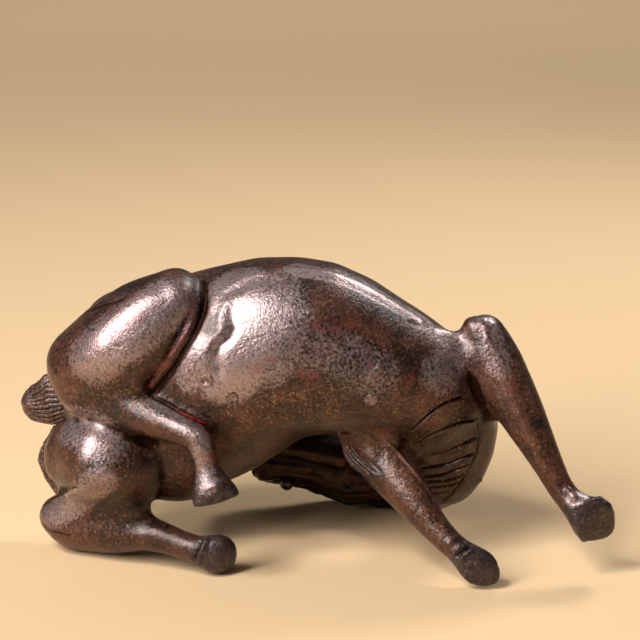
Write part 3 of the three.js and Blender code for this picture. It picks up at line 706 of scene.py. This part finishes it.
cutters = {}
feet = {}
for node, (coronet, way, height, rise, taper) in FEET.items():
    feet[node] = weld([clay_of(node)], node + "_clay", FOOT_FILLET)
    Clay(feet[node]).dome(coronet, way, height, rise, taper)
    cutters[node] = twin(feet[node], "cutter")
limbs = {}
for node, foot, fillet in LEGS:
    leg = weld([clay_of(node)], node + "_clay", LEG_FILLET)
    Clay(leg).pull(PULLS.get(node, ()))
    cutters[node] = twin(leg, "cutter")
    limbs[node] = weld([leg, feet[foot]], node + "_clay", fillet * MM)
body = weld([trunk, limbs["right_foreleg"], limbs["left_foreleg"]], "front_clay", FRONT_FILLET)
body = weld([body, limbs["right_hind_leg"], limbs["left_hind_leg"]], "body_clay", BODY_FILLET)
clay = Clay(body)
clay.relax(BODY_ROUNDS)
for path, reach in FILLS:
    clay.fill(clay.traced(path), reach * MM)
finish_with(body, "SUBSURF", levels=1, render_levels=1)
clay = Clay(body)
for path, width, height in FORMS:
    clay.stroke(clay.traced(path), width * MM, height * MM)
clay.refresh()
clay.tree = None
for path, width, height in FOLDS:
    clay.stroke(clay.traced(path), width * MM, height * MM, ends=SOFT_ENDS if len(path) > 2 else 0)
for path, (right, up), width in EDGES:
    clay.drag(clay.traced(path), (RIGHT * right + UP * up) * MM, width * MM)
clay.refresh()
clay.tree = None

plates = [clay.traced(path, trunk_seen) for path in PLATES]
border = clay.traced(PLATE_BORDER, trunk_seen)
hairs = [clay.traced(path) for path in ELBOW_HAIR]
edge = clay.traced(LEG_EDGE)
refine(body, [*plates, border, *hairs, edge], FINE_REACH)
refine(body, hairs, HAIR_REACH)
clay = Clay(body)
for line in plates:
    clay.stroke(line, *PLATE_CUT, ends=CRISP_ENDS)
for line in plates[:LIPPED_PLATES]:
    clay.stroke(line + np.array(UP) * LIP_OFFSET, *PLATE_LIP, ends=CRISP_ENDS)
clay.stroke(border, *BORDER_CUT, ends=CRISP_ENDS)
for line in hairs:
    clay.stroke(line, *HAIR_CUT, ends=SOFT_ENDS)
clay.stroke(edge, *LEG_EDGE_RISE, ends=SOFT_ENDS)
for kind, path, width, strength in FINISHES:
    clay.paint(kind, clay.traced(path), width * MM, strength)
clay.refresh()
clay.mark_hollows(*BODY_HOLLOWS)


# Finishes

# Tones of the patina, with a light tone that is dust and also painted sheen, and the marks that say where
# it is red, flecked, polished with painted sheen, or hollow.
TONES = {
    "Dark": (0.014, 0.006, 0.004, 1),
    "Brown": (0.1, 0.035, 0.018, 1),
    "Dust_and_sheen": (0.37, 0.265, 0.255, 1),
    "Lacquer": (0.15, 0.015, 0.014, 1),
    "Gilt": (0.4, 0.21, 0.09, 1),
}
# Painted shade: hollow places are darkened towards this tone.
CREASE_SHADE_TONE = (0.014, 0.006, 0.0035, 1)
CREASE_SHADE_SHARE = 0.85
MARKS = ("Red", "Fleck", "Polish", "Hollow")

# Noises: scale per metre, detail, roughness, distortion.
CLOUD = (60, 5, 0.62, 0.5)
MOTTLE = (260, 7, 0.7, 0.3)
GRAIN = (1100, 6, 0.75, 0)
SPECK = (1150, 6, 0.75, 0)
TOOTH = (1300, 2, 0.5, 0)
PIT_SCALE = 620

# Bands: where a value begins and ends to count, and what it comes to there.
BROWN_BAND = (0.74, 1.0, 0, 1)
PALE_BAND = (0.58, 0.94, 0, 0.85)
RIDGE_BAND = (0.25, 1.0, 0, 0.45)
RIDGE_WEAR_BAND = (0.35, 0.6, 0, 1)
CREASE_BAND = (0.2, 0.95, 0, 1)
RED_BAND = (0.68, 0.82, 0, 0.85)
FLECK_BAND = (0.65, 0.73, 0, 0.65)
ROUGH_BAND = (0.36, 0.64, 0.27, 0.41)
METAL_BAND = (0.25, 1.3, 0.3, 0.75)
GLAZE_BAND = (0.25, 1.3, 0.2, 1)
PIT_BAND = (0.05, 0.3, 0, 1)
SMOOTH_PATCH_BAND = (0.62, 0.5, 0, 1)

# Height of the bumps at full strength.
BUMP_HEIGHT = 0.3 * MM


def socket(group, name, kind, way, value=None):
    made = group.interface.new_socket(name, in_out=way, socket_type=kind)
    if value is not None:
        made.default_value = value


class Wiring:
    """Short words for adding nodes to a tree."""

    def __init__(self, tree):
        self.tree = tree

    def node(self, kind, **settings):
        made = self.tree.nodes.new(kind)
        for name, value in settings.items():
            setattr(made, name, value)
        return made

    def link(self, source, target):
        if isinstance(source, bpy.types.NodeSocket):
            self.tree.links.new(source, target)
        else:
            target.default_value = source

    def noise(self, place, scale, detail, roughness, distortion):
        made = self.node("ShaderNodeTexNoise")
        self.link(place, made.inputs["Vector"])
        made.inputs["Scale"].default_value = scale
        made.inputs["Detail"].default_value = detail
        made.inputs["Roughness"].default_value = roughness
        made.inputs["Distortion"].default_value = distortion
        return made.outputs["Fac"]

    def band(self, value, low, high, floor, top):
        made = self.node("ShaderNodeMapRange", interpolation_type="SMOOTHSTEP")
        self.link(value, made.inputs["Value"])
        made.inputs["From Min"].default_value = low
        made.inputs["From Max"].default_value = high
        made.inputs["To Min"].default_value = floor
        made.inputs["To Max"].default_value = top
        return made.outputs["Result"]

    def maths(self, operation, a, b):
        made = self.node("ShaderNodeMath", operation=operation)
        self.link(a, made.inputs[0])
        self.link(b, made.inputs[1])
        return made.outputs[0]

    def times(self, a, b):
        return self.maths("MULTIPLY", a, b)

    def blend(self, *parts):
        """The sum of some values, each with its weight."""
        weighted = [value if weight == 1 else self.times(value, weight) for value, weight in parts]
        total = weighted[0]
        for value in weighted[1:]:
            total = self.maths("ADD", total, value)
        return total

    def mix(self, share, a, b):
        made = self.node("ShaderNodeMix", data_type="RGBA")
        self.link(share, made.inputs["Factor"])
        self.link(a, made.inputs["A"])
        self.link(b, made.inputs["B"])
        return made.outputs["Result"]


def patina_group():
    """Old lacquer over cast bronze: brown mottling, red in the creases, gilt flecks, dust and pits; painted
    sheen lightens the polished places and painted shade darkens the hollow ones.
    """
    group = bpy.data.node_groups.new("old_patina", "ShaderNodeTree")
    for name, tone in TONES.items():
        socket(group, name, "NodeSocketColor", "INPUT", tone)
    for name in MARKS:
        socket(group, name, "NodeSocketFloat", "INPUT", 0.0)
    socket(group, "Colour", "NodeSocketColor", "OUTPUT")
    for name in ("Roughness", "Metal", "Glaze", "Height"):
        socket(group, name, "NodeSocketFloat", "OUTPUT")
    w = Wiring(group)
    given = w.node("NodeGroupInput").outputs
    place = w.node("ShaderNodeTexCoord").outputs["Object"]

    cloud = w.noise(place, *CLOUD)
    mottle = w.noise(place, *MOTTLE)
    grain = w.noise(place, *GRAIN)
    speck = w.noise(place, *SPECK)
    tooth = w.noise(place, *TOOTH)
    uneven = w.blend((mottle, 0.35), (grain, 0.75))
    fine = w.blend((mottle, 0.2), (grain, 0.9))
    creases = w.band(given["Hollow"], *CREASE_BAND)
    ridges = w.band(w.times(given["Hollow"], -1), *RIDGE_BAND)

    brown = w.band(w.blend((uneven, 1), (cloud, 0.6)), *BROWN_BAND)
    colour = w.mix(brown, given["Dark"], given["Brown"])
    # Painted sheen: the polished marks push the colour towards the light tone, on top of random dust
    # specks.
    pale = w.band(w.blend((fine, 1), (given["Polish"], 0.36)), *PALE_BAND)
    colour = w.mix(pale, colour, given["Dust_and_sheen"])
    colour = w.mix(w.times(ridges, w.band(mottle, *RIDGE_WEAR_BAND)), colour, given["Brown"])
    # Painted shade: the hollows are darkened.
    colour = w.mix(w.times(creases, CREASE_SHADE_SHARE), colour, CREASE_SHADE_TONE)
    red = w.band(w.blend((fine, 1), (given["Red"], 0.2)), *RED_BAND)
    colour = w.mix(red, colour, given["Lacquer"])
    fleck = w.band(w.blend((speck, 1), (given["Fleck"], 0.11)), *FLECK_BAND)
    colour = w.mix(fleck, colour, given["Gilt"])

    rough = w.blend((w.band(grain, *ROUGH_BAND), 1), (creases, 0.2), (given["Polish"], -0.04))
    worn = w.blend((fine, 0.5), (given["Polish"], 1))
    metal = w.maths("MAXIMUM", w.band(worn, *METAL_BAND), creases)
    glaze = w.times(w.band(worn, *GLAZE_BAND), w.maths("SUBTRACT", 1.0, creases))

    pits = w.node("ShaderNodeTexVoronoi")
    w.link(place, pits.inputs["Vector"])
    pits.inputs["Scale"].default_value = PIT_SCALE
    patches = w.band(mottle, *SMOOTH_PATCH_BAND)
    pit = w.maths("MAXIMUM", w.band(pits.outputs["Distance"], *PIT_BAND), patches)
    height = w.blend((mottle, 1.1), (tooth, 0.8), (grain, 0.15), (pit, 0.3))

    ready = w.node("NodeGroupOutput").inputs
    w.link(colour, ready["Colour"])
    w.link(rough, ready["Roughness"])
    w.link(metal, ready["Metal"])
    w.link(glaze, ready["Glaze"])
    w.link(height, ready["Height"])
    return group


PATINA = patina_group()


def finish(name, coat, gloss, bump, metallic=None, **tones):
    """A material that wears the patina, with its own tones; metallic is worn into it unless it is given."""
    material = bpy.data.materials.new(name)
    material.use_nodes = True
    w = Wiring(material.node_tree)
    shader = material.node_tree.nodes["Principled BSDF"]
    patina = w.node("ShaderNodeGroup", node_tree=PATINA)
    for tone, value in tones.items():
        patina.inputs[tone].default_value = value
    for mark in MARKS:
        if mark not in tones:
            layer = w.node("ShaderNodeAttribute", attribute_name=mark.lower())
            w.link(layer.outputs["Fac"], patina.inputs[mark])
    bumps = w.node("ShaderNodeBump")
    bumps.inputs["Strength"].default_value = bump
    bumps.inputs["Distance"].default_value = BUMP_HEIGHT
    w.link(patina.outputs["Height"], bumps.inputs["Height"])
    w.link(patina.outputs["Colour"], shader.inputs["Base Color"])
    w.link(patina.outputs["Roughness"], shader.inputs["Roughness"])
    w.link(patina.outputs["Metal"] if metallic is None else metallic, shader.inputs["Metallic"])
    w.link(bumps.outputs["Normal"], shader.inputs["Normal"])
    shader.inputs["Specular IOR Level"].default_value = 0.5
    w.link(w.times(patina.outputs["Glaze"], coat), shader.inputs["Coat Weight"])
    shader.inputs["Coat Roughness"].default_value = gloss
    return material


# Painted shade: the head lies in shadow under the body, so it gets darker tones than the rest of the same
# bronze.
SHADED_HEAD_TONES = {
    "Dark": (0.01, 0.005, 0.003, 1),
    "Brown": (0.045, 0.021, 0.01, 1),
    "Dust_and_sheen": (0.1, 0.07, 0.06, 1),
    "Gilt": (0.2, 0.09, 0.03, 1),
    "Red": 0.1,
    "Fleck": 0.4,
    "Polish": 0.0,
}
HOOF_TONES = {
    "Dark": (0.013, 0.0075, 0.0075, 1),
    "Brown": (0.06, 0.034, 0.031, 1),
    "Red": 0.0,
    "Fleck": 0.25,
}
EYE_TONES = {
    "Dark": (0.004, 0.003, 0.003, 1),
    "Brown": (0.008, 0.006, 0.004, 1),
    "Dust_and_sheen": (0.012, 0.008, 0.006, 1),
    "Red": 0.0,
    "Fleck": 0.3,
    "Polish": 0.0,
    "Hollow": 0.0,
}
# The rivet on the jaw takes the head's painted shade.
SHADED_RIVET_TONES = {**SHADED_HEAD_TONES, "Hollow": 0.0}
PLUG_TONES = {"Red": 0.2, "Fleck": 0.3, "Polish": 0.5, "Hollow": 0.0}
BRONZE = finish("lacquered_bronze", coat=0.6, gloss=0.28, bump=0.65)
HAIR_BRONZE = finish("lacquered_hair", coat=0.6, gloss=0.3, bump=0.6, Red=0.1, Fleck=0.3, Polish=0.3)
SHADED_HEAD_BRONZE = finish("lacquered_head_painted_shade", coat=0.1, gloss=0.3, bump=0.7, metallic=0.75, **SHADED_HEAD_TONES)
HOOF_BRONZE = finish("hoof_bronze", coat=0.5, gloss=0.4, bump=1.0, **HOOF_TONES)
PLUG_BRONZE = finish("plug_bronze", coat=0.6, gloss=0.28, bump=0.9, **PLUG_TONES)
SHADED_RIVET_BRONZE = finish("rivet_bronze_painted_shade", coat=0.1, gloss=0.3, bump=0.7, metallic=0.75, **SHADED_RIVET_TONES)
EYE_GILT = finish("eye_gilt", coat=4.0, gloss=0.08, bump=0.15, **EYE_TONES)


# Dividing the casting into its pieces

# The share of its faces that the casting keeps when it is thinned.
THINNED = 0.8


def dress(piece, node, material):
    piece.name = node
    piece.data.name = node
    piece.data.materials.clear()
    piece.data.materials.append(material)
    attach(piece, "root")
    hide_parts(node)


def save_paints(piece, paints):
    for kind, marks in paints.items():
        layer = piece.data.attributes.new(kind, "FLOAT", "POINT")
        layer.data.foreach_set("value", marks.astype(np.float32))


def carry_over(piece, source, tree):
    """Gives a divided piece the finish marks and the shading of the whole casting."""
    found = np.array([tree.find(vert.co)[1] for vert in piece.data.vertices])
    save_paints(piece, {kind: marks[found] for kind, marks in source.paints.items()})
    pick(piece)
    bpy.ops.object.shade_smooth()
    piece.data.normals_split_custom_set_from_vertices([tuple(n) for n in source.normals[found]])


def cut_with(piece, operation, cutter):
    finish_with(piece, "BOOLEAN", operation=operation, solver="MANIFOLD", object=cutter)


def cut_out(whole, cutter, name):
    piece = twin(whole, name)
    cut_with(piece, "INTERSECT", cutter)
    cut_with(whole, "DIFFERENCE", cutter)
    bpy.data.objects.remove(cutter)
    return piece


finish_with(body, "DECIMATE", ratio=THINNED)
whole = twin(body, "whole_casting")
body_tree = tree_of(clay.points)
cutters["neck_shell"] = copy_of("neck_shell", "cutter")
for node, cutter in cutters.items():
    swell(cutter, SEAM_REACH)
    recast(cutter, ROUGH_GRAIN)
    keep_outer_skin(cutter)
    piece = cut_out(body, cutter, node)
    keep_outer_skin(piece)
    carry_over(piece, clay, body_tree)
    if node in FEET:
        dress(piece, node, HOOF_BRONZE)
    else:
        dress(piece, node, BRONZE)
keep_outer_skin(body)
carry_over(body, clay, body_tree)
dress(body, "torso_shell", BRONZE)


# Small pieces, each recast from its solid and worked over

def small_clay(members, grain, rounds, fillet=0.0):
    """One skin over some solids; grain and fillet are in millimetres."""
    pieces = [copy_of(node, node + "_clay") for node in members]
    piece = join(pieces, members[0] + "_clay") if len(pieces) > 1 else pieces[0]
    recast(piece, grain * MM)
    keep_outer_skin(piece)
    if fillet:
        swell(piece, fillet * MM)
        recast(piece, grain * MM)
        swell(piece, -fillet * MM)
        recast(piece, grain * MM)
        keep_outer_skin(piece)
    clay = Clay(piece)
    clay.relax(rounds)
    clay.refresh()
    return clay


def trimmed(clay, others):
    """Cuts a piece away where the others stand in it, and marks its hollows."""
    clay.refresh()
    for other in others:
        cut_with(clay.piece, "DIFFERENCE", other)
    keep_outer_skin(clay.piece)
    clay = Clay(clay.piece)
    clay.mark_hollows(*SMALL_HOLLOWS)
    return clay


def finish_small(clay, node, material, others=()):
    clay = trimmed(clay, others)
    save_paints(clay.piece, clay.paints)
    pick(clay.piece)
    bpy.ops.object.shade_smooth()
    dress(clay.piece, node, material)


# The head's own directions: x forward is negative, then up to the forehead, then to its left.
BROW = Vector((12.94, 27.58, 12.5))
HEAD_ROLL = math.radians(55)
HEAD_UP = Vector((0, math.cos(HEAD_ROLL), -math.sin(HEAD_ROLL)))
HEAD_LEFT = Vector((0, math.sin(HEAD_ROLL), math.cos(HEAD_ROLL)))
BOTH_SIDES = (1, -1)


def in_head(path, side=1):
    return [BROW + RIGHT * x + HEAD_UP * up + HEAD_LEFT * (side * left) for x, up, left in path]


# Marks on the head: path in its directions, width, height. Those of the face are done on both sides.
FACE = (
    (((-27, 1.0, 5.4), (-23, 2.2, 6.4), (-18, 2.6, 7.2), (-12, 3.0, 8.0)), 2.4, 0.7),
    (((-29, -2.5, 6.2), (-25, -5.2, 7.4), (-18, -5.8, 8.2), (-10, -5.0, 9.8)), 2.0, 0.5),
    (((-24.5, -2.2, 7.0), (-20.5, -5.2, 7.6), (-16.5, -2.4, 7.8), (-20.5, 1.2, 7.0)), 1.3, -0.5),
    (((-31.5, -3.5, 3.4),), 1.5, -1.1),
    (((-30.5, -1.2, 3.6), (-32.3, -2.4, 5.0), (-31.5, -5.4, 5.2)), 1.5, 0.7),
    (((-24, 2.0, 2.2), (-14, 5.2, 2.6), (-4, 8.5, 3.2), (4, 9.6, 3.6)), 1.5, 0.45),
    (((-31.5, -9.0, 3.0), (-26, -10.0, 5.4), (-18, -9.6, 6.8), (-8, -9.0, 8.6)), 1.8, 0.35),
    (((-9, -4.5, 9.6), (-3, -6.5, 11.4), (5, -7.0, 11.4), (11, -5.0, 10.2)), 0.9, -0.3),
    (((-7, -1.0, 10.6), (-1, -2.4, 12.4), (7, -3.0, 12.0), (13, -2.0, 10.0)), 0.9, -0.3),
    (((-6, 2.6, 10.6), (0, 2.0, 12.2), (7, 1.4, 11.6), (13, 1.2, 9.8)), 0.9, -0.3),
)
NOSE_BRIDGE = (((-33, -3.5, 0), (-28, 0.2, 0), (-20, 2.4, 0)), 3, 0.7)
EAR_HOLLOW = (((8, 7.0, 11.0), (13, 8.0, 12.0), (16, 8.0, 12.0)), 1.7, -0.9)
PUPIL = (((-21.5, -2, 12),), 0.9, -0.3)

# Parting of the jaw from the head.
JAW_SEAM_REACH = 0.5 * MM
JAW_GRAIN = 0.5 * MM

def on_head(clay, mark, side=1):
    """A stroke that is noted in the head's directions."""
    path, width, height = mark
    clay.stroke(clay.laid(in_head(path, side)), width * MM, height * MM)


head = small_clay(("skull", "lower_jaw"), grain=0.5, rounds=20, fillet=1.4)
for mark in FACE:
    for side in BOTH_SIDES:
        on_head(head, mark, side)
on_head(head, NOSE_BRIDGE)
head = trimmed(head, [whole])
head_whole = twin(head.piece, "whole_head")
cutter = copy_of("lower_jaw", "cutter")
swell(cutter, JAW_SEAM_REACH)
recast(cutter, JAW_GRAIN)
keep_outer_skin(cutter)
jaw = cut_out(head.piece, cutter, "lower_jaw")
head_tree = tree_of(head.points)
for piece, node in ((jaw, "lower_jaw"), (head.piece, "skull")):
    keep_outer_skin(piece)
    carry_over(piece, head, head_tree)
    dress(piece, node, SHADED_HEAD_BRONZE)

for node, side in zip(("left_ear", "right_ear"), BOTH_SIDES):
    ear = small_clay((node,), grain=0.35, rounds=14)
    on_head(ear, EAR_HOLLOW, side)
    finish_small(ear, node, SHADED_HEAD_BRONZE, [whole])

for node, side in zip(("left_eye", "right_eye"), BOTH_SIDES):
    eye = small_clay((node,), grain=0.25, rounds=8)
    on_head(eye, PUPIL, side)
    finish_small(eye, node, EYE_GILT)

# Hair and horn: axis in millimetres, number of strands, depth of the cuts, twist, material.
HAIR = {
    "tail_brush": (((-70.1, 5.1, 43), (-77.6, 9.1, 41.5), (-84.1, 10.1, 40.5)),
                   26, 0.6, 0.6, HAIR_BRONZE),
    "tail_lock": (((-77.6, 8.1, 31.5), (-79.6, 7.1, 22.5), (-76.6, 4.1, 14.5)),
                  9, 0.5, 2.5, HAIR_BRONZE),
    "beard": (((-11.1, 22.1, 25.9), (-3.1, 21.4, 27.8), (5.9, 22.3, 29.1)), 13, 0.3, 1.5, SHADED_HEAD_BRONZE),
    "mane": (((44.3, 9.9, 46.4), (50.0, 10.5, 35.4), (51.6, 10.9, 23.4), (46.2, 20.9, 15.1)),
             11, 0.5, 3.0, HAIR_BRONZE),
    "horn": (((15.9, 33.0, 4.7), (24.9, 35.8, 2.4), (34.9, 37.6, 4.2)), 7, 0.25, 5.0, HAIR_BRONZE),
}

# Pulls on the hair: place, way and reach in millimetres.
HAIR_PULLS = {
    "tail_brush": (((-86.0, 9.0, 46.0), (1.6, 0, -1.3), 6.5),),
    "tail_lock": (((-77.6, 8.1, 31.5), (3.2, 0, 0), 9), ((-79.6, 7.1, 22.0), (-0.6, -0.8, 0), 5)),
}
for node, (axis, strands, depth, twist, material) in HAIR.items():
    hair = small_clay((node,), grain=0.4, rounds=14)
    hair.comb(axis, strands, depth, twist)
    for at, way, reach in HAIR_PULLS.get(node, ()):
        hair.grab(Vector(at) * MM, Vector(way) * MM, reach * MM)
    finish_small(hair, node, material, [whole])

# Plugs and the rivet, filed down until they hardly stand out of the skin round them.
FILED_PROUD = 0.04 * MM
FILED_EDGE = math.radians(40)
for casting, material, members in (
    (whole, PLUG_BRONZE, ("groin_plug", "belly_plug", "chest_plug", "flank_plug")),
    (head_whole, SHADED_RIVET_BRONZE, ("jaw_rivet",)),
):
    swell(casting, FILED_PROUD)
    for node in members:
        plug = copy_of(node, node + "_filed")
        cut_with(plug, "INTERSECT", casting)
        pick(plug)
        bpy.ops.object.shade_smooth_by_angle(angle=FILED_EDGE)
        dress(plug, node, material)
    bpy.data.objects.remove(casting)

# Pins and wedges stay as they are, inside the joints.
for node, thing in nodes.items():
    if node.endswith(("pin", "wedge")):
        thing.data.materials.clear()
        thing.data.materials.append(PLUG_BRONZE)
